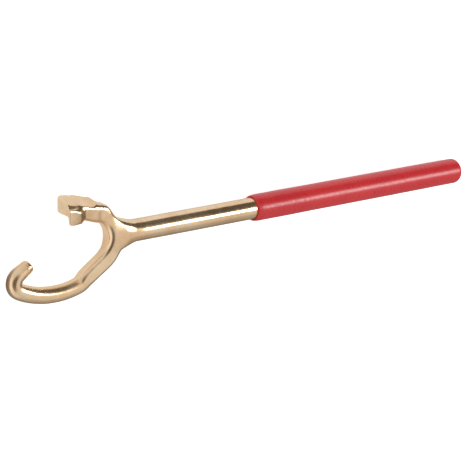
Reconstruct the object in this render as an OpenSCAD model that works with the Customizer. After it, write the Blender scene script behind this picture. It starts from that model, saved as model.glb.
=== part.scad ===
// Hydrant and hose coupling wrench: one forged bronze bar with an open C head,
// and a soft sleeve dipped over the handle end of the bar.
// The wrench lies flat. +X runs from the head to the handle end, +Y is the jaw
// side of the head and +Z is the side that the drive lug stands out of.
// The origin is under the middle of the wrench, on the surface that it lies on.

/* [Bar] */
// Diameter of the round bar
bar_d = 18; // [16:0.5:22]
// Length from the centre of the neck to the closed end of the sleeve
handle_reach = 334; // [250:1:420]

/* [Sleeve] */
// Outer diameter of the sleeve
sleeve_d = 22.4; // [21:0.1:26]
// Distance from the centre of the neck to the mouth of the sleeve
sleeve_start = 101; // [80:1:150]
// Thickness of the closed end of the sleeve
sleeve_cap = 3; // [2:0.5:6]
// Radius of the rounded rim of the closed end
sleeve_rim = 5; // [3:0.5:8]

/* [Head] */
// Thickness of the flat web and of the arms
head_t = 12; // [10:0.5:14]
// Width of the arms
arm_w = 14; // [12:0.5:16]
// Centre line radius of the throat of the C
throat_r = 23.2; // [21:0.1:26]
// Distance from the neck to the centre of the throat
throat_x = 57.5; // [55:0.5:62]

/* [Hook] */
// Diameter of the round hook bar
hook_d = 13.4; // [11:0.2:14]
// Centre line radius of the long curve of the hook
hook_r = 70; // [60:1:80]
// Centre line radius of the tight return at the end of the hook
return_r = 7.6; // [7.2:0.2:10]
// Diameter of the bar at the tip of the hook
tip_d = 11; // [9:0.5:12]

/* [Drive lug] */
// Height of the top of the drive lug above the middle of the bar
lug_top = 12.5; // [11:0.5:14]
// Thickness of the flat jaw that carries the lug
jaw_t = 11; // [9:0.5:12]

/* [Hidden] */
$fn = 64;
slice = 0.2;
bar_r = bar_d / 2;
sleeve_r = sleeve_d / 2;
throat_c = [-throat_x, -1];

// The C and its hook are one bar. It starts at the jaw and follows these legs,
// each [length, turn in degrees, width, thickness, squareness] at its far end.
upper_heading = -20;
upper_len = 15;
throat_turn = -125.5;
hook_turn = -43.7;
return_turn = -120;
tip_edge = 3;
legs = [
    [upper_len, 0, arm_w, head_t, 3],
    [arc_length(throat_r, throat_turn), throat_turn, arm_w, head_t, 3.2],
    [18, 0, arm_w, head_t, 3],
    [4, 15, arm_w - 0.6, head_t + 0.4, 2.6],
    [6, -33, hook_d, hook_d - 0.4, 2.2],
    [arc_length(hook_r, hook_turn), hook_turn, hook_d, hook_d - 0.6, 2.1],
    [arc_length(return_r, return_turn), return_turn, hook_d - 1, hook_d - 1.4, 2],
    [9.5, 0, tip_d, tip_d, 2],
];
bar_start = start_state();
sides = 28;
step = 2.4;
turn_step = 9;

// Outer limits of the wrench, which set where the origin is.
return_s = after(6);
return_c = [return_s[0], return_s[1]] + return_r * [sin(return_s[2]), -cos(return_s[2])];
x_low = return_c[0] - return_r - hook_d / 2;
hook_s = after(5);
hook_c = [hook_s[0], hook_s[1]] + hook_r * [sin(hook_s[2]), -cos(hook_s[2])];
y_low = hook_c[1] - hook_r - hook_d / 2;
jaw_top = 37.6;
origin_shift = [-(x_low + handle_reach) / 2, -(y_low + jaw_top) / 2, sleeve_r];

function arc_length(r, turn) = abs(turn) * PI / 180 * r;

// Position and heading after moving along a leg that turns evenly.
function advance(s, length, turn) =
    turn == 0
    ? [s[0] + length * cos(s[2]), s[1] + length * sin(s[2]), s[2]]
    : let(r = length / (turn * PI / 180))
      [s[0] + r * (sin(s[2] + turn) - sin(s[2])),
       s[1] - r * (cos(s[2] + turn) - cos(s[2])),
       s[2] + turn];

// Start of the bar: back from the start of the throat along the upper arm.
function start_state() =
    let(h = upper_heading,
        at = throat_c + throat_r * [cos(h + 90), sin(h + 90)])
    [at[0] - upper_len * cos(h), at[1] - upper_len * sin(h), h];

function after(k) =
    k == 0 ? bar_start : advance(after(k - 1), legs[k - 1][0], legs[k - 1][1]);

function leg_steps(k) =
    max(1, ceil(legs[k][0] / step), ceil(abs(legs[k][1]) / turn_step));

function blend(a, b, f) = a + (b - a) * f;

// Stations along the bar: [x, y, heading, width, thickness, squareness].
first_size = [arm_w, head_t + 3, 2.4];
function size_before(k) = k == 0 ? first_size : [for (i = [2:4]) legs[k - 1][i]];
function size_after(k) = [for (i = [2:4]) legs[k][i]];
leg_stations = [
    for (k = [0:len(legs) - 1])
        for (i = [0:leg_steps(k) - 1])
            let(f = i / leg_steps(k),
                s = advance(after(k), legs[k][0] * f, legs[k][1] * f),
                size = blend(size_before(k), size_after(k), f))
            concat(s, size)
];
tip_s = after(len(legs));
rim_steps = 5;
tip_stations = [
    for (i = [0:rim_steps])
        let(a = 90 * i / rim_steps,
            s = advance(tip_s, tip_edge * sin(a), 0),
            d = tip_d - 2 * tip_edge * (1 - cos(a)))
        concat(s, [d, d, 2])
];
stations = concat(leg_stations, tip_stations);

// Signed power, which squares off a circle as the squareness rises above 2.
function spow(v, p) = sign(v) * pow(abs(v), p);

function ring(st) =
    [for (j = [0:sides - 1])
        let(a = 360 * j / sides,
            u = st[3] / 2 * spow(cos(a), 2 / st[5]),
            z = st[4] / 2 * spow(sin(a), 2 / st[5]))
        [st[0] - u * sin(st[2]), st[1] + u * cos(st[2]), z]];

// Rounded rectangle, w along X and t along Y.
module bar_section(w, t, r) {
    square([w - 2 * r, t], center = true);
    square([w, t - 2 * r], center = true);
    for (sx = [-1, 1], sy = [-1, 1])
        translate([sx * (w / 2 - r), sy * (t / 2 - r)])
            circle(r);
}

// Shank, with a chamfered end inside the sleeve, and its flare into the web.
module shank() {
    neck_x = -10;
    neck_step = 0.15;
    overlap = 0.5;
    shank_end = handle_reach - sleeve_cap;
    chamfer = 1.5;
    translate([neck_x - overlap, 0, 0])
        rotate([0, 90, 0])
            cylinder(h = shank_end - chamfer - neck_x + overlap, r = bar_r);
    translate([shank_end - chamfer, 0, 0])
        rotate([0, 90, 0])
            cylinder(h = chamfer, r1 = bar_r, r2 = bar_r - chamfer);
    hull() {
        translate([neck_x - slice, 0, 0])
            rotate([0, 90, 0])
                cylinder(h = slice, r = bar_r + neck_step, $fn = 48);
        translate([-33, 0, 0])
            rotate([90, 0, 90])
                linear_extrude(slice)
                    bar_section(25, head_t, 4.5, $fn = 32);
    }
}

// Flat web between the neck and the throat, with a concave fillet on each side.
module web() {
    web_t = head_t - 0.4;
    fillet_up = 20;
    fillet_down = 23;
    translate([0, 0, -web_t / 2])
        linear_extrude(web_t)
            difference() {
                polygon([[-15, 6.5], [-15, -6.5], [-24, -13.5], [-36, -24],
                         [-52, -27], [-60, 21], [-60, 31.8], [-54.6, 30.4],
                         [-45.2, 24.7], [-36, 16.8], [-26, 12]]);
                translate([throat_c[0], throat_c[1]])
                    circle(throat_r - 2);
                translate([-20, 9.3 + fillet_up])
                    circle(fillet_up);
                translate([-17, -9 - fillet_down])
                    circle(fillet_down);
            }
}

// The bar of the C and its hook, swept through its stations.
module hook_bar() {
    n = len(stations);
    polyhedron(
        points = [for (st = stations) each ring(st)],
        faces = concat(
            [[for (j = [0:sides - 1]) j]],
            [for (i = [0:n - 2]) for (j = [0:sides - 1])
                let(k = (j + 1) % sides)
                [i * sides + j, (i + 1) * sides + j,
                 (i + 1) * sides + k, i * sides + k]],
            [[for (j = [sides - 1:-1:0]) (n - 1) * sides + j]]
        )
    );
}

// Jaw at the end of the upper arm: a block whose outer side leans inwards as it
// rises to the drive lug, and whose back end falls away to the arm.
module jaw() {
    back_z = -jaw_t / 2;
    arm_z = 5.6;
    hull() {
        translate([0, 0, back_z])
            linear_extrude(slice)
                polygon([[-82.5, 23.6], [-82.5, 36.2], [-79.5, jaw_top],
                         [-60, 33.4], [-54, 26], [-56, 17.5], [-66, 18.6]]);
        translate([0, 0, arm_z])
            linear_extrude(slice)
                polygon([[-82.4, 23.2], [-82.4, 31.8], [-79.5, 32.8],
                         [-61, 29.8], [-58, 26], [-60, 20], [-70, 20]]);
        translate([0, 0, lug_top - 1])
            linear_extrude(slice)
                polygon([[-82, 22.5], [-82, 29], [-77, 28], [-77, 22]]);
    }
}

// Outline of the drive lug, flat towards the jaw end and rounded behind.
module lug_outline() {
    front_r = 1.5;
    back_r = 3.6;
    hull() {
        translate([-80.9, 27.8])
            circle(front_r);
        translate([-80.9, 19.4])
            circle(front_r);
        translate([-71.8, 18.2])
            circle(back_r);
        translate([-72.2, 23.8])
            circle(back_r);
    }
}

// Drive lug: a pad on the jaw, which overhangs the mouth of the C.
module drive_lug() {
    root_z = 4.5;
    lean = 0.3;
    rise = lug_top - root_z;
    hull() {
        translate([0, 0, lug_top - 1.2])
            linear_extrude(1.2)
                lug_outline($fn = 32);
        translate([lean * rise, lean * rise, root_z])
            linear_extrude(slice)
                lug_outline($fn = 32);
    }
}

module forged_wrench() {
    color([0.80, 0.65, 0.45])
        translate(origin_shift) {
            shank();
            web();
            hook_bar();
            jaw();
            drive_lug();
        }
}

// Sleeve: a closed tube, thin at its mouth, with a rounded closed end.
module grip_sleeve() {
    lip = 0.6;
    lip_len = 4;
    length = handle_reach - sleeve_start;
    inside = length - sleeve_cap;
    color([0.76, 0.14, 0.17])
        translate(origin_shift)
            translate([sleeve_start, 0, 0])
                rotate([0, 90, 0])
                    rotate_extrude()
                        difference() {
                            union() {
                                polygon([[0, 0], [sleeve_r - lip, 0],
                                         [sleeve_r, lip_len],
                                         [sleeve_r, length - sleeve_rim],
                                         [sleeve_r - sleeve_rim, length - sleeve_rim],
                                         [sleeve_r - sleeve_rim, length], [0, length]]);
                                translate([sleeve_r - sleeve_rim, length - sleeve_rim])
                                    intersection() {
                                        circle(sleeve_rim);
                                        square(sleeve_rim);
                                    }
                            }
                            translate([-1, -1])
                                square([bar_r + 1, inside + 1]);
                        }
}

forged_wrench();
grip_sleeve();
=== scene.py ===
import math

import bpy
import numpy as np
from mathutils import Matrix, Vector


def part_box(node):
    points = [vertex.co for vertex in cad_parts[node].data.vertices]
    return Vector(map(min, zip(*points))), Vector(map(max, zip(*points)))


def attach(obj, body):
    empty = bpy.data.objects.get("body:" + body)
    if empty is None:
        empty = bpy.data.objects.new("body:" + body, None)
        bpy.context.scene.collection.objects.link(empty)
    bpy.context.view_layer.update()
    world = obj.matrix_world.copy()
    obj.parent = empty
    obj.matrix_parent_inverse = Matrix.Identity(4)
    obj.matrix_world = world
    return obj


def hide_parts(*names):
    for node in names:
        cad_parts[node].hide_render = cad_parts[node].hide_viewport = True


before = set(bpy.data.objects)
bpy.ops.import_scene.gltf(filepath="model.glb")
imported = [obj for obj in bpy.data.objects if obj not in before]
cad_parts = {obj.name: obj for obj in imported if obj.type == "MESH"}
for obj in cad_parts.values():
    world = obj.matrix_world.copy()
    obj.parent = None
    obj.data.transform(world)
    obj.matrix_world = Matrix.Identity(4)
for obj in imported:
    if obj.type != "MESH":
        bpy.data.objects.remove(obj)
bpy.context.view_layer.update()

MM = 0.001


# --------------------------------------------------------------- working frame
# Its origin is at the middle of the neck, where the round shank meets the head. X runs
# to the closed end of the sleeve, and +Y is the jaw's side. Lengths in it are in mm.
SLEEVE_LOW, SLEEVE_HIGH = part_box("grip_sleeve")
FORGED_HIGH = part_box("forged_wrench")[1]
HANDLE_REACH = 334.0
NECK = Vector((
    SLEEVE_HIGH[0] - HANDLE_REACH * MM,
    (SLEEVE_LOW[1] + SLEEVE_HIGH[1]) / 2,
    (SLEEVE_LOW[2] + SLEEVE_HIGH[2]) / 2,
))


def along_handle(corner):
    return round((corner[0] - NECK[0]) / MM, 3)


# ---------------------------------------------------------------- sizes, in mm
CELL = 0.5
BAR_R = 9.0
BAR_START = -37.0
BAR_END = along_handle(FORGED_HIGH)
BAR_CHAMFER = 1.5
SLEEVE_R = 11.2
SLEEVE_START = along_handle(SLEEVE_LOW)
THROAT = (-57.5, -1.0)
THROAT_R = 23.2
ARM_W = 14.0
HEAD_T = 12.0
HOOK_D = 13.4
TIP_R = 5.5
TIP_EDGE = 3.0
LUG_TOP = 12.5
LUG_ROOT = 4.5
JAW_TOP = 37.3
JAW_END = -82.4
JAW_START = -52.0
JAW_BOTTOM = -5.7

# Planes that cut the jaw: the direction each faces, and how far out it lies. The outer
# side leans inwards as it rises, the side at the mouth is upright, and the top falls
# towards the arm.
JAW_OUTER = ((0.27, 1.0, 0.415), 14.7)
JAW_MOUTH = ((-0.28, -0.96, 0.0), 0.44)
JAW_FALL = ((0.175, 0.0, 0.985), -3.9)

# Hollow along the jaw's end: x and z of its axis, and its radius.
HOLLOW = ((-85.4, 7.2), 3.3)

# Outline of the lug's top.
LUG = [
    (-82.4, 29.2), (-82.4, 17.4), (-80, 16.4), (-70.2, 14.4),
    (-68.0, 17), (-68.0, 25), (-70.4, 27.2),
]

# Outline of the web, and the two round fillets that lead it into the shank.
WEB = [
    (-13, 6.5), (-13, -6.5), (-20, -12), (-36, -24), (-52, -27), (-63, 20),
    (-61, 31.5), (-54.6, 31.0), (-45.2, 26.2), (-36, 20.0), (-30, 16.0), (-20, 14.0),
]
FILLET_UP = ((-17.5, 30.7), 22.5)
FILLET_DOWN = ((-17.0, -32.0), 23.0)
WEB_EDGE = 3.7


def arc(radius, turn):
    return abs(math.radians(turn)) * radius


# Legs of the bar that makes the C and its hook, from the jaw on: length, turn in
# degrees, then width, thickness and edge radius at the far end. The first leg's
# heading is in degrees from +X, and FIRST_SIZE is its size where it starts.
UPPER_HEADING = -20.0
UPPER_LEN = 15.0
FIRST_SIZE = (ARM_W, HEAD_T + 3, 4.4)
LEGS = [
    (UPPER_LEN, 0, ARM_W + 1.2, HEAD_T + 1.8, 4.4),
    (arc(THROAT_R, 125.5), -125.5, ARM_W, HEAD_T, 3.8),
    (18, 0, ARM_W, HEAD_T, 4.4),
    (4, 15, ARM_W - 0.6, HEAD_T + 0.4, 5.2),
    (6, -33, HOOK_D, HOOK_D - 0.4, 6.3),
    (arc(70, 43.7), -43.7, HOOK_D, HOOK_D - 0.6, 6.3),
    (arc(7.6, 120), -120, HOOK_D - 1, HOOK_D - 1.4, 5.9),
    (9.5, 0, 2 * TIP_R, 2 * TIP_R, 5.4),
]


# ------------------------------------------------------------- distance fields
def smooth_min(a, b, k):
    """The smaller of two distances, blended where they differ by less than k."""
    h = np.clip(0.5 + 0.5 * (b - a) / k, 0, 1)
    return b + (a - b) * h - k * h * (1 - h)


def smooth_max(a, b, k):
    return -smooth_min(-a, -b, k)


def ease(x, low, high):
    """0 below low, 1 above high, and a smooth step between."""
    t = np.clip((x - low) / (high - low), 0, 1)
    return t * t * (3 - 2 * t)


def circle(x, y, centre, radius):
    return np.hypot(x - centre[0], y - centre[1]) - radius


def plane(x, y, z, normal, reach):
    n = math.sqrt(sum(v * v for v in normal))
    return (normal[0] * x + normal[1] * y + normal[2] * z - reach) / n


def polygon(x, y, points):
    """Signed distance to a closed polygon, negative inside."""
    best = np.full(np.shape(x), 1e9)
    inside = np.zeros(np.shape(x), bool)
    for (ax, ay), (bx, by) in zip(points, points[1:] + points[:1]):
        ex, ey = bx - ax, by - ay
        px, py = x - ax, y - ay
        t = np.clip((px * ex + py * ey) / (ex * ex + ey * ey), 0, 1)
        best = np.minimum(best, np.hypot(px - t * ex, py - t * ey))
        crosses = (ay > y) != (by > y)
        at = ax + (y - ay) * ex / (ey if ey else 1e-9)
        inside ^= crosses & (x < at)
    return np.where(inside, -best, best)


def rounded(u, w, edge):
    """Distance to a corner rounded to a radius, from the distances to its two faces."""
    u, w = u + edge, w + edge
    return np.minimum(np.maximum(u, w), 0) + np.hypot(np.maximum(u, 0), np.maximum(w, 0)) - edge


def slab(flat, z, half, edge):
    """A flat outline given thickness, with its edges rounded."""
    return rounded(flat, np.abs(z) - half, np.minimum(edge, half))


# ------------------------------------------------------- the bar and flat head
def moved(state, length, turn):
    """Place and heading at the end of a straight or round leg."""
    x, y, heading = state
    h = math.radians(heading)
    if turn == 0:
        return (x + length * math.cos(h), y + length * math.sin(h), heading)
    r = length / math.radians(turn)
    h2 = h + math.radians(turn)
    across, along = math.sin(h2) - math.sin(h), math.cos(h2) - math.cos(h)
    return (x + r * across, y - r * along, heading + turn)


def bar_states():
    """Place and heading where each leg starts, and at the hook's end."""
    h = math.radians(UPPER_HEADING)
    top = h + math.pi / 2
    at = (THROAT[0] + THROAT_R * math.cos(top), THROAT[1] + THROAT_R * math.sin(top))
    start = (at[0] - UPPER_LEN * math.cos(h), at[1] - UPPER_LEN * math.sin(h))
    states = [(*start, UPPER_HEADING)]
    for length, turn, *_ in LEGS:
        states.append(moved(states[-1], length, turn))
    return states


STATES = bar_states()


def bar_samples(step=0.4, soften=4):
    """Points along the bar, with its bends eased: x, y, half width, half thickness, edge radius."""
    rows = []
    sizes = [FIRST_SIZE] + [leg[2:] for leg in LEGS]
    for k, (length, turn, *_) in enumerate(LEGS):
        count = max(2, round(length / step))
        for i in range(count):
            f = i / count
            x, y, _ = moved(STATES[k], length * f, turn * f)
            w, t, e = (b + (a - b) * f for b, a in zip(sizes[k], sizes[k + 1]))
            rows.append((x, y, w / 2, t / 2, e))
    reach = 3 * soften
    kernel = np.exp(-0.5 * (np.arange(-reach, reach + 1) / soften) ** 2)
    kernel /= kernel.sum()
    padded = np.pad(np.array(rows), ((reach, reach), (0, 0)), mode="reflect", reflect_type="odd")
    return np.stack([np.convolve(column, kernel, mode="valid") for column in padded.T], -1)


def web_outline(x, y):
    d = polygon(x, y, WEB)
    d = smooth_max(d, -circle(x, y, *FILLET_DOWN), 0.5)
    return smooth_max(d, -circle(x, y, THROAT, THROAT_R - 2), 0.5)


def blurred(grid, passes):
    for _ in range(passes):
        wide = np.pad(grid, ((1, 1), (0, 0)), mode="edge")
        grid = (wide[:-2] + 2 * wide[1:-1] + wide[2:]) / 4
        wide = np.pad(grid, ((0, 0), (1, 1)), mode="edge")
        grid = (wide[:, :-2] + 2 * wide[:, 1:-1] + wide[:, 2:]) / 4
    return grid


class FlatMaps:
    """Outline distance, half thickness and edge radius of the flat head, on a fine grid."""

    pitch = 0.25
    low = (-136.0, -52.0)
    high = (6.0, 44.0)
    batch = 20000

    def __init__(self):
        xs = np.arange(self.low[0], self.high[0], self.pitch)
        ys = np.arange(self.low[1], self.high[1], self.pitch)
        gx, gy = np.meshgrid(xs, ys, indexing="ij")
        x, y = gx.ravel(), gy.ravel()
        rows = bar_samples()
        near = self.nearest(x, y, rows)
        bar = self.bar_outline(x, y, rows, near)
        web = web_outline(x, y)
        of_web = ease(bar, -1, 5)
        outline = smooth_max(np.minimum(bar, web), -circle(x, y, *FILLET_UP), 4.0)
        half = rows[near, 3] * (1 - of_web) + (HEAD_T / 2) * of_web
        edge = rows[near, 4] * (1 - of_web) + WEB_EDGE * of_web
        self.maps = np.stack([
            blurred(outline.reshape(gx.shape), 6),
            blurred(half.reshape(gx.shape), 24),
            blurred(edge.reshape(gx.shape), 24),
        ], -1)

    def nearest(self, x, y, rows):
        near = np.empty(len(x), int)
        for i in range(0, len(x), self.batch):
            part = slice(i, i + self.batch)
            gap = (x[part, None] - rows[:, 0]) ** 2 + (y[part, None] - rows[:, 1]) ** 2
            near[part] = gap.argmin(1)
        return near

    def bar_outline(self, x, y, rows, near):
        """Distance to the sides of the bar, which runs back into the jaw at its start."""
        back = 8
        tangent = np.gradient(rows[:, :2], axis=0)
        tangent /= np.linalg.norm(tangent, axis=1)[:, None]
        px, py = x - rows[near, 0], y - rows[near, 1]
        tx, ty = tangent[near].T
        along = px * tx + py * ty
        side = -px * ty + py * tx
        bar = np.abs(side) - rows[near, 2]
        start, stop = near == 0, near == len(rows) - 1
        bar = np.where(start & (along < 0), np.maximum(bar, -along - back), bar)
        return np.where(stop & (along > 0), np.maximum(bar, along), bar)

    def at(self, x, y):
        n, m = self.maps.shape[:2]
        u = np.clip((x - self.low[0]) / self.pitch, 0, n - 1.001)
        v = np.clip((y - self.low[1]) / self.pitch, 0, m - 1.001)
        i, j = u.astype(int), v.astype(int)
        f, g = (u - i)[:, None], (v - j)[:, None]
        maps = self.maps
        near_row = maps[i, j] * (1 - f) + maps[i + 1, j] * f
        far_row = maps[i, j + 1] * (1 - f) + maps[i + 1, j + 1] * f
        return (near_row * (1 - g) + far_row * g).T


FLAT = FlatMaps()


def hook_tip(x, y, z):
    """Blunt round end of the hook."""
    ahead, behind = 3, 4
    sx, sy, heading = STATES[-1]
    h = math.radians(heading)
    along = (x - sx) * math.cos(h) + (y - sy) * math.sin(h)
    side = -(x - sx) * math.sin(h) + (y - sy) * math.cos(h)
    return rounded(np.hypot(side, z) - TIP_R, np.maximum(along - ahead, -along - behind), TIP_EDGE)


def jaw_block(x, y, z):
    """Block at the end of the upper arm, whose outer side leans inwards as it rises."""
    d = smooth_max(plane(x, y, z, *JAW_OUTER), y - JAW_TOP, 1.5)
    d = smooth_max(d, JAW_END - x, 2.6)
    d = smooth_max(d, z - LUG_TOP + 0.3, 1.6)
    d = smooth_max(d, JAW_BOTTOM - z, 1.8)
    d = smooth_max(d, plane(x, y, z, *JAW_MOUTH), 1.8)
    d = smooth_max(d, plane(x, y, z, *JAW_FALL), 3.6)
    d = smooth_max(d, x - JAW_START, 4.0)
    return smooth_max(d, -circle(x, z, *HOLLOW), 1.4)


def drive_lug(x, y, z):
    """Pad on the jaw, which leans out over the mouth of the C and is softer towards the arm."""
    rise = LUG_TOP - z
    u, v = x - 0.5 * rise, y - 0.3 * rise
    edge = 1.0 + 2.4 * ease(u, -78, -70)
    from_end = x - JAW_END
    top = z - LUG_TOP + 0.08 * from_end + 0.004 * from_end ** 2
    return rounded(polygon(u, v, LUG) * 0.87, np.maximum(top, LUG_ROOT - z), edge)


def shank(x, y, z):
    """Round bar, which flattens and widens as it runs out into the web."""
    tall = BAR_R - 3.3 * ease(-x, 10, 41)
    wide = BAR_R + 1.5 * ease(-x, 12, 36)
    q = np.hypot(y / wide, z / tall)
    rod = q * (q - 1) / np.maximum(np.hypot(y / wide ** 2, z / tall ** 2), 1e-3)
    past = x - BAR_END
    chamfer = (rod + past + BAR_CHAMFER) / math.sqrt(2)
    rod = np.where(past > -BAR_CHAMFER, np.maximum(rod, chamfer), rod)
    return smooth_max(np.maximum(rod, past), BAR_START - x, 4)


def head(x, y, z):
    """Web, C, hook, jaw and lug."""
    lean = 0.16 * ease(-x, 42, 58) * ease(y, 5, 20)
    flat, half, edge = FLAT.at(x, y + lean * (z + HEAD_T / 2))
    fade = 0.04 * np.maximum(x + 28, 0) ** 2
    d = slab(flat, z, half, edge) + fade
    outer = plane(x, y, z, *JAW_OUTER) - 4 * ease(x, -58, -48)
    at_jaw = x < -48
    d = np.where(at_jaw, smooth_max(d, outer, 2.2), d)
    d = smooth_min(d, hook_tip(x, y, z), 0.6)
    d = smooth_min(d, jaw_block(x, y, z), 4.0)
    d = np.where(at_jaw, smooth_max(d, outer, 0.4), d)
    return smooth_min(d, drive_lug(x, y, z), 1.6)


def forging(points):
    """Distance from points to the forged body."""
    x, y, z = points.T
    d = np.full(len(points), 1e3)
    on = x > -50
    d[on] = shank(x[on], y[on], z[on])
    on = x < 2
    d[on] = smooth_min(d[on], head(x[on], y[on], z[on]), 7.0)
    return d


# -------------------------------------------------------- surface from a field
CORNERS = [(i, j, k) for i in (0, 1) for j in (0, 1) for k in (0, 1)]


def band_values(field, axes, cell, block=6, reach=2.2):
    """Field on a grid, worked out near its surface and copied from a coarse grid elsewhere."""
    coarse = [axis[::block] for axis in axes]
    grid = np.stack(np.meshgrid(*coarse, indexing="ij"), -1).reshape(-1, 3)
    rough = field(grid).reshape([len(c) for c in coarse])
    near = np.abs(rough) < block * cell * reach
    for axis in range(3):
        grown = near.copy()
        lower = [slice(None)] * 3
        upper = [slice(None)] * 3
        lower[axis], upper[axis] = slice(None, -1), slice(1, None)
        grown[tuple(lower)] |= near[tuple(upper)]
        grown[tuple(upper)] |= near[tuple(lower)]
        near = grown
    pick = [np.minimum(np.arange(len(a)) // block, len(c) - 1) for a, c in zip(axes, coarse)]
    wanted = near[np.ix_(*pick)]
    values = rough[np.ix_(*pick)]
    spots = np.argwhere(wanted)
    values[wanted] = field(np.stack([axes[i][spots[:, i]] for i in range(3)], -1))
    return values


def crossed_cells(inside):
    """Grid cells that the surface passes through, and their numbers laid out on the grid."""
    shape = [n - 1 for n in inside.shape]
    total = np.zeros(shape, np.int8)
    for i, j, k in CORNERS:
        total += inside[i:i + shape[0], j:j + shape[1], k:k + shape[2]]
    active = (total > 0) & (total < len(CORNERS))
    cells = np.argwhere(active)
    ids = np.full(shape, -1, np.int64)
    ids[active] = np.arange(len(cells))
    return cells, ids


def cell_points(values, cells):
    """One point in each cell, in the middle of the places where the surface cuts its edges."""
    at = {c: values[tuple((cells + c).T)] for c in CORNERS}
    total = np.zeros((len(cells), 3))
    weight = np.zeros(len(cells))
    for a in CORNERS:
        for axis in range(3):
            if a[axis]:
                continue
            b = tuple(1 if i == axis else a[i] for i in range(3))
            fa, fb = at[a], at[b]
            cross = (fa < 0) != (fb < 0)
            t = np.where(cross, fa / np.where(cross, fa - fb, 1), 0)
            spot = np.tile(np.array(a, float), (len(cells), 1))
            spot[:, axis] += t
            total[cross] += spot[cross]
            weight[cross] += 1
    return cells + total / weight[:, None]


def cell_quads(inside, ids):
    """A face for each grid edge that the surface crosses, through the four cells round it."""
    quads = []
    for axis in range(3):
        b, c = [(1, 2), (2, 0), (0, 1)][axis]
        first = [slice(1, -1)] * 3
        second = [slice(1, -1)] * 3
        first[axis], second[axis] = slice(0, -1), slice(1, None)
        start, stop = inside[tuple(first)], inside[tuple(second)]
        edges = np.argwhere(start != stop)
        outward = start[tuple(edges.T)]
        edges = edges + np.array([0 if i == axis else 1 for i in range(3)])
        ring = []
        for db, dc in ((-1, -1), (0, -1), (0, 0), (-1, 0)):
            q = edges.copy()
            q[:, b] += db
            q[:, c] += dc
            ring.append(ids[tuple(q.T)])
        quad = np.stack(ring, -1)
        quad[~outward] = quad[~outward][:, ::-1]
        quads.append(quad)
    return np.concatenate(quads)


def surface(field, low, high, cell):
    """Quad mesh of the zero surface of a distance field, on a regular grid."""
    count = [int(math.ceil((b - a) / cell)) + 1 for a, b in zip(low, high)]
    axes = [low[i] + cell * np.arange(count[i]) for i in range(3)]
    values = band_values(field, axes, cell)
    inside = values < 0
    cells, ids = crossed_cells(inside)
    verts = np.array(low) + cell * cell_points(values, cells)
    return verts, cell_quads(inside, ids)


def gradient(field, points, e=0.05):
    steps = e * np.eye(3)
    return np.stack([field(points + s) - field(points - s) for s in steps], -1) / (2 * e)


def settle(field, points, rounds):
    """Moves points onto the zero surface of a field, along its gradient."""
    for _ in range(rounds):
        d = field(points)
        g = gradient(field, points)
        n = np.maximum((g * g).sum(-1), 0.2)
        points = points - np.clip(d / n, -0.3, 0.3)[:, None] * g
    return points


def relax(points, quads, rounds, keep):
    """Averages each point with its neighbours, a little at a time."""
    n = len(points)
    a, b = np.concatenate([quads[:, [i, (i + 1) % 4]] for i in range(4)]).T
    count = np.bincount(a, minlength=n) + np.bincount(b, minlength=n)
    for _ in range(rounds):
        sums = [np.bincount(a, points[b, i], n) + np.bincount(b, points[a, i], n) for i in range(3)]
        mean = np.stack(sums, -1) / count[:, None]
        points = points * keep + mean * (1 - keep)
    return points


# --------------------------------------------------------------------- meshes
RNG = np.random.default_rng(7)


def wave_noise(points, length, count=24):
    """Soft bumps of about the given length, between about -1 and 1."""
    out = np.zeros(len(points))
    for _ in range(count):
        way = RNG.normal(size=3)
        way /= np.linalg.norm(way)
        wavelength = length * RNG.uniform(0.7, 1.5)
        out += np.sin(points @ way * (2 * math.pi / wavelength) + RNG.uniform(0, 2 * math.pi))
    return out / math.sqrt(count / 2) / 1.6


def make_object(name, verts, faces):
    """Smooth-shaded object from points in the working frame."""
    mesh = bpy.data.meshes.new(name)
    places = np.asarray(verts) * MM + np.array(NECK)
    mesh.from_pydata(places.tolist(), [], [tuple(int(v) for v in f) for f in faces])
    mesh.validate()
    mesh.polygons.foreach_set("use_smooth", [True] * len(mesh.polygons))
    mesh.update()
    obj = bpy.data.objects.new(name, mesh)
    bpy.context.scene.collection.objects.link(obj)
    return obj


def build_forging():
    low = [-131.5, -47.5, -10.5]
    high = [BAR_END + 1.5, 39.5, 14.5]
    shrink = 0.1
    verts, faces = surface(forging, low, high, CELL)
    verts = settle(forging, verts, 2)
    verts = relax(verts, faces, 2, 0.6)
    wobble = 0.022 * wave_noise(verts, 16) + 0.008 * wave_noise(verts, 6)
    share = ease(-verts[:, 0], -20, 10) * 0.8 + 0.2
    normals = gradient(forging, verts)
    normals /= np.maximum(np.linalg.norm(normals, axis=1), 1e-6)[:, None]
    verts = verts + normals * ((wobble - shrink) * share)[:, None]
    return make_object("forged_body", verts, faces)


def lathe(profile, around):
    """Rings of profile points (x, r) turned about X, and one last point on the axis."""
    x, r = np.array(profile).T
    a = 2 * math.pi * np.arange(around) / around
    sides = np.outer(r, np.cos(a)).ravel(), np.outer(r, np.sin(a)).ravel()
    rings = np.stack([np.repeat(x, around), *sides], -1)
    return np.vstack([rings, (x[-1], 0, 0)])


def lathe_faces(rings, around, base):
    """Faces between a lathe's rings, closed by a fan at its last point."""
    faces = []
    tip = base + rings * around
    for j in range(around):
        k = (j + 1) % around
        for ring in range(base, tip - around, around):
            faces.append((ring + j, ring + k, ring + around + k, ring + around + j))
        faces.append((tip - around + j, tip - around + k, tip))
    return faces


def fillet_points(centre, radius, start, stop, steps):
    angles = [math.radians(start + (stop - start) * i / steps) for i in range(steps + 1)]
    return [(centre[0] + radius * math.cos(a), centre[1] + radius * math.sin(a)) for a in angles]


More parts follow.
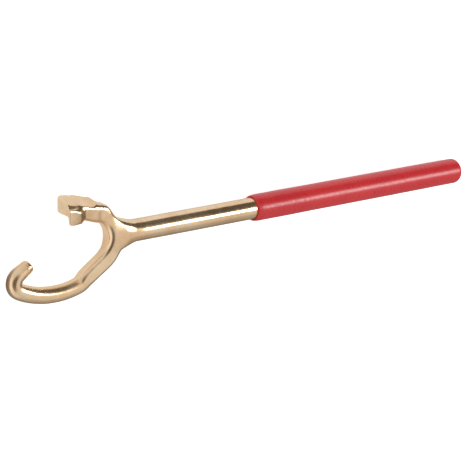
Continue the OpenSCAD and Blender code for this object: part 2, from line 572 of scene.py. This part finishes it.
def build_sleeve():
    end = HANDLE_REACH
    around = 96
    inset = 0.05
    skin_r = SLEEVE_R - inset
    rim = 5.0
    lip, lip_r = 0.7, 9.9
    mouth_r = lip_r + lip
    bore_r = 9.02
    bottom = end - 3.0

    outer = fillet_points((SLEEVE_START + lip, lip_r), lip, 180, 90, 6)
    for i in range(1, 9):
        f = i / 8
        swollen = mouth_r + (skin_r - mouth_r) * math.sin(f * math.pi / 2)
        outer.append((SLEEVE_START + lip + 5 * f, swollen))
    outer += [(x, skin_r) for x in np.arange(SLEEVE_START + 8, end - rim - 1, 2.5)]
    outer += fillet_points((end - rim, SLEEVE_R - rim), rim - inset, 90, 0, 14)
    outer += [(end - inset, r) for r in (5.0, 3.5, 2.0, 0.9)]

    bore = [(bottom, 0.9), (bottom, 4.0), (bottom, 8.0), (bottom - 0.4, 8.9)]
    bore += [(x, bore_r) for x in np.arange(end - 6, SLEEVE_START + 1, -6)]
    bore.append((SLEEVE_START, bore_r))
    bore.reverse()

    shell = lathe(outer, around)
    base = len(shell)
    verts = np.vstack([shell, lathe(bore, around)])
    faces = [face[::-1] for face in lathe_faces(len(outer), around, 0)]
    faces += lathe_faces(len(bore), around, base)
    for j in range(around):
        k = (j + 1) % around
        faces.append((j, k, base + k, base + j))

    on_skin = ease(verts[:, 0], SLEEVE_START + 6, SLEEVE_START + 30)
    swell = 0.05 * wave_noise(verts, 60, 12) * on_skin
    radius = np.hypot(verts[:, 1], verts[:, 2])
    grow = np.where(radius > 9.5, 1 + (swell - 0.06) / np.maximum(radius, 1), 1)
    verts[:, 1:] *= grow[:, None]
    return make_object("grip_skin", verts, faces)


# ------------------------------------------------------------------ node trees
def new_material(name):
    mat = bpy.data.materials.new(name)
    mat.use_nodes = True
    tree = mat.node_tree
    return mat, tree, tree.nodes["Principled BSDF"]


def noise(tree, coords, scale, detail, rough):
    n = tree.nodes.new("ShaderNodeTexNoise")
    n.inputs["Scale"].default_value = scale
    n.inputs["Detail"].default_value = detail
    n.inputs["Roughness"].default_value = rough
    tree.links.new(coords, n.inputs["Vector"])
    return n.outputs["Fac"]


def map_range(tree, value, low, high, start, stop):
    """Smooth step from start, where value is low, to stop, where it is high."""
    n = tree.nodes.new("ShaderNodeMapRange")
    n.interpolation_type = "SMOOTHSTEP"
    ends = {"From Min": low, "From Max": high, "To Min": start, "To Max": stop}
    for key, v in ends.items():
        n.inputs[key].default_value = v
    tree.links.new(value, n.inputs["Value"])
    return n.outputs["Result"]


def plug(tree, socket, value):
    """Links a node's output to a socket, or sets a plain number or colour on it."""
    if isinstance(value, (int, float, tuple)):
        socket.default_value = value
    else:
        tree.links.new(value, socket)


def mix_colour(tree, factor, a, b):
    n = tree.nodes.new("ShaderNodeMix")
    n.data_type = "RGBA"
    for socket, value in ((n.inputs[0], factor), (n.inputs[6], a), (n.inputs[7], b)):
        plug(tree, socket, value)
    return n.outputs[2]


def maths(tree, op, a, b):
    n = tree.nodes.new("ShaderNodeMath")
    n.operation = op
    for socket, value in zip(n.inputs, (a, b)):
        plug(tree, socket, value)
    return n.outputs[0]


def vector_maths(tree, op, vector, constant):
    n = tree.nodes.new("ShaderNodeVectorMath")
    n.operation = op
    tree.links.new(vector, n.inputs[0])
    n.inputs[1].default_value = constant
    return n.outputs["Value"]


def axis_value(tree, coords, axis):
    n = tree.nodes.new("ShaderNodeSeparateXYZ")
    tree.links.new(coords, n.inputs[0])
    return n.outputs[axis]


def bump(tree, height, strength, distance, normal=None):
    n = tree.nodes.new("ShaderNodeBump")
    n.inputs["Strength"].default_value = strength
    n.inputs["Distance"].default_value = distance
    tree.links.new(height, n.inputs["Height"])
    if normal is not None:
        tree.links.new(normal, n.inputs["Normal"])
    return n.outputs["Normal"]


def grey(v, warm=0.0):
    return (v * (1 + warm), v, v * (1 - warm), 1)


# ------------------------------------------------------------------- materials
def bronze():
    """Bright polished bronze in warm and pale patches, with stains, and a painted highlight that
    makes its edges paler.
    """
    mat, tree, shader = new_material("forged_bronze")
    coords = tree.nodes.new("ShaderNodeTexCoord").outputs["Object"]
    patches = noise(tree, coords, 38, 4, 0.55)
    mottle = noise(tree, coords, 260, 4, 0.6)
    grain = noise(tree, coords, 2600, 3, 0.6)
    warm, pale = (0.80, 0.55, 0.33, 1), (0.86, 0.66, 0.44, 1)
    # The first of these two colours is for real stains; the second is the pale colour of a painted
    # highlight on the edges.
    stain, edge_highlight = (0.60, 0.42, 0.26, 1), (0.95, 0.78, 0.56, 1)
    colour = mix_colour(tree, map_range(tree, patches, 0.35, 0.65, 0, 1), warm, pale)
    colour = mix_colour(tree, map_range(tree, mottle, 0.52, 0.75, 0, 0.35), colour, stain)
    # Painted highlight: sharp convex edges, where pointiness is high, are mixed up to halfway
    # towards the pale colour.
    edge = tree.nodes.new("ShaderNodeNewGeometry").outputs["Pointiness"]
    colour = mix_colour(tree, map_range(tree, edge, 0.51, 0.56, 0, 0.5), colour, edge_highlight)
    tree.links.new(colour, shader.inputs["Base Color"])
    shader.inputs["Metallic"].default_value = 1.0

    rough = map_range(tree, patches, 0.3, 0.7, 0.17, 0.23)
    rough = maths(tree, "ADD", rough, map_range(tree, mottle, 0.4, 0.7, -0.02, 0.05))
    along = axis_value(tree, coords, "X")
    on_head = map_range(tree, along, NECK[0] - 0.060, NECK[0] - 0.015, 0.05, 0.0)
    tree.links.new(maths(tree, "ADD", rough, on_head), shader.inputs["Roughness"])

    normal = bump(tree, patches, 0.04, 0.0008)
    normal = bump(tree, mottle, 0.06, 0.00020, normal)
    normal = bump(tree, grain, 0.12, 0.00003, normal)
    tree.links.new(normal, shader.inputs["Normal"])
    return mat


def red_plastic():
    """Dipped red plastic, slightly clouded and scuffed, with a fine orange-peel surface."""
    mat, tree, shader = new_material("dipped_red_plastic")
    coords = tree.nodes.new("ShaderNodeTexCoord").outputs["Object"]
    clouds = noise(tree, coords, 30, 3, 0.5)
    scuff = noise(tree, coords, 420, 4, 0.6)
    orange_peel = noise(tree, coords, 900, 2, 0.5)
    deep, bright = (0.60, 0.023, 0.029, 1), (0.66, 0.031, 0.037, 1)
    scuffed = (0.66, 0.10, 0.10, 1)
    colour = mix_colour(tree, map_range(tree, clouds, 0.3, 0.7, 0, 1), deep, bright)
    colour = mix_colour(tree, map_range(tree, scuff, 0.6, 0.8, 0, 0.25), colour, scuffed)
    tree.links.new(colour, shader.inputs["Base Color"])
    tree.links.new(map_range(tree, scuff, 0.3, 0.75, 0.26, 0.38), shader.inputs["Roughness"])
    shader.inputs["Specular IOR Level"].default_value = 0.5
    normal = bump(tree, clouds, 0.2, 0.0010)
    normal = bump(tree, orange_peel, 0.08, 0.00006, normal)
    tree.links.new(normal, shader.inputs["Normal"])
    return mat


forged = build_forging()
forged.data.materials.append(bronze())
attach(forged, "root")
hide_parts("forged_wrench")

grip = build_sleeve()
grip.data.materials.append(red_plastic())
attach(grip, "root")
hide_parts("grip_sleeve")


# ---------------------------------------------------------------------- camera
def add_camera():
    """Long lens that looks down on the head, with the handle running away to the right."""
    back = Vector((-0.588, 0.297, 0.755)).normalized()
    right = Vector((0.795, 0.034, 0.602))
    right = (right - back * right.dot(back)).normalized()
    up = back.cross(right)
    roll = math.radians(0.28)
    cos, sin = math.cos(roll), math.sin(roll)
    right, up = right * cos - up * sin, up * cos + right * sin
    data = bpy.data.cameras.new("camera")
    data.sensor_width = 36
    data.lens = 129.4468
    data.clip_end = 20
    camera = bpy.data.objects.new("camera", data)
    bpy.context.scene.collection.objects.link(camera)
    place = NECK + right * 0.0668 - up * 0.00605 + back * 1.3286
    turn = Matrix((right, up, back)).transposed().to_4x4()
    camera.matrix_world = Matrix.Translation(place) @ turn
    bpy.context.scene.camera = camera


add_camera()


# ----------------------------------------------------------------------- floor
def floor_material():
    """Pale to the camera, and darker in reflections but for two soft bright parts."""
    mat, tree, shader = new_material("pale_floor")
    coords = tree.nodes.new("ShaderNodeTexCoord").outputs["Object"]
    shader.inputs["Base Color"].default_value = grey(0.36)
    shader.inputs["Roughness"].default_value = 0.9

    beyond = map_range(tree, axis_value(tree, coords, "Y"), 0.004, 0.022, 0.0, 1.0)
    head_middle = NECK + Vector((-0.075, -0.004, -NECK[2]))
    from_head = vector_maths(tree, "DISTANCE", coords, head_middle)
    under_head = map_range(tree, from_head, 0.040, 0.062, 1.0, 0.0)
    shine = tree.nodes.new("ShaderNodeEmission")
    shine.inputs["Color"].default_value = grey(0.62)
    tree.links.new(maths(tree, "MAXIMUM", beyond, under_head), shine.inputs["Strength"])

    pale = tree.nodes.new("ShaderNodeBsdfDiffuse")
    pale.inputs["Color"].default_value = grey(0.86)
    glow = tree.nodes.new("ShaderNodeEmission")
    glow.inputs["Strength"].default_value = 0.75

    sums = []
    for first, second in ((shader, shine), (pale, glow)):
        total = tree.nodes.new("ShaderNodeAddShader")
        tree.links.new(first.outputs[0], total.inputs[0])
        tree.links.new(second.outputs[0], total.inputs[1])
        sums.append(total)
    seen = tree.nodes.new("ShaderNodeMixShader")
    ray = tree.nodes.new("ShaderNodeLightPath")
    tree.links.new(ray.outputs["Is Camera Ray"], seen.inputs[0])
    tree.links.new(sums[0].outputs[0], seen.inputs[1])
    tree.links.new(sums[1].outputs[0], seen.inputs[2])
    tree.links.new(seen.outputs[0], tree.nodes["Material Output"].inputs["Surface"])
    return mat


def add_floor(half=6):
    corners = [(-half, -half, 0), (half, -half, 0), (half, half, 0), (-half, half, 0)]
    mesh = bpy.data.meshes.new("floor")
    mesh.from_pydata(corners, [], [(0, 1, 2, 3)])
    mesh.materials.append(floor_material())
    floor = bpy.data.objects.new("floor", mesh)
    bpy.context.scene.collection.objects.link(floor)


add_floor()


# ---------------------------------------------------------------------- lights
def soft_box(name, direction, size, power, distance=1.6):
    """Rectangular light that faces the neck from a direction."""
    light = bpy.data.lights.new(name, "AREA")
    light.shape = "RECTANGLE"
    light.size, light.size_y = size
    light.energy = power
    obj = bpy.data.objects.new(name, light)
    bpy.context.scene.collection.objects.link(obj)
    way = Vector(direction).normalized()
    obj.location = NECK + way * distance
    obj.rotation_mode = "QUATERNION"
    obj.rotation_quaternion = way.to_track_quat("Z", "Y")


# Soft zones of the sky: direction, the degrees within which it is whole and beyond
# which it is gone, and its tint. The last three make the dark bands in the metal.
SKY_ZONES = [
    ((0.5, -0.85, 0.05), 12, 45, grey(0.48, 0.04)),
    ((-0.95, -0.25, 0.20), 20, 55, grey(1.15, 0.02)),
    ((-0.35, -0.05, 0.93), 20, 40, grey(0.13, 0.05)),
    ((1.0, -0.05, 0.05), 24, 50, grey(0.18, 0.05)),
    ((0.588, 0.66, 0.37), 26, 37, grey(0.11, 0.08)),
]


def add_sky():
    world = bpy.data.worlds.new("studio")
    bpy.context.scene.world = world
    world.use_nodes = True
    tree = world.node_tree
    way = tree.nodes.new("ShaderNodeTexCoord").outputs["Generated"]
    sky = grey(0.80, 0.02)
    for direction, full, none, tint in SKY_ZONES:
        towards = vector_maths(tree, "DOT_PRODUCT", way, Vector(direction).normalized())
        low, high = math.cos(math.radians(none)), math.cos(math.radians(full))
        sky = mix_colour(tree, map_range(tree, towards, low, high, 0, 1), sky, tint)
    background = tree.nodes["Background"]
    tree.links.new(sky, background.inputs["Color"])
    background.inputs["Strength"].default_value = 1.0


add_sky()
soft_box("strip", (0.70, 0.12, 0.705), (0.42, 0.70), 9.5)
bpy.context.scene.view_settings.view_transform = "Standard"
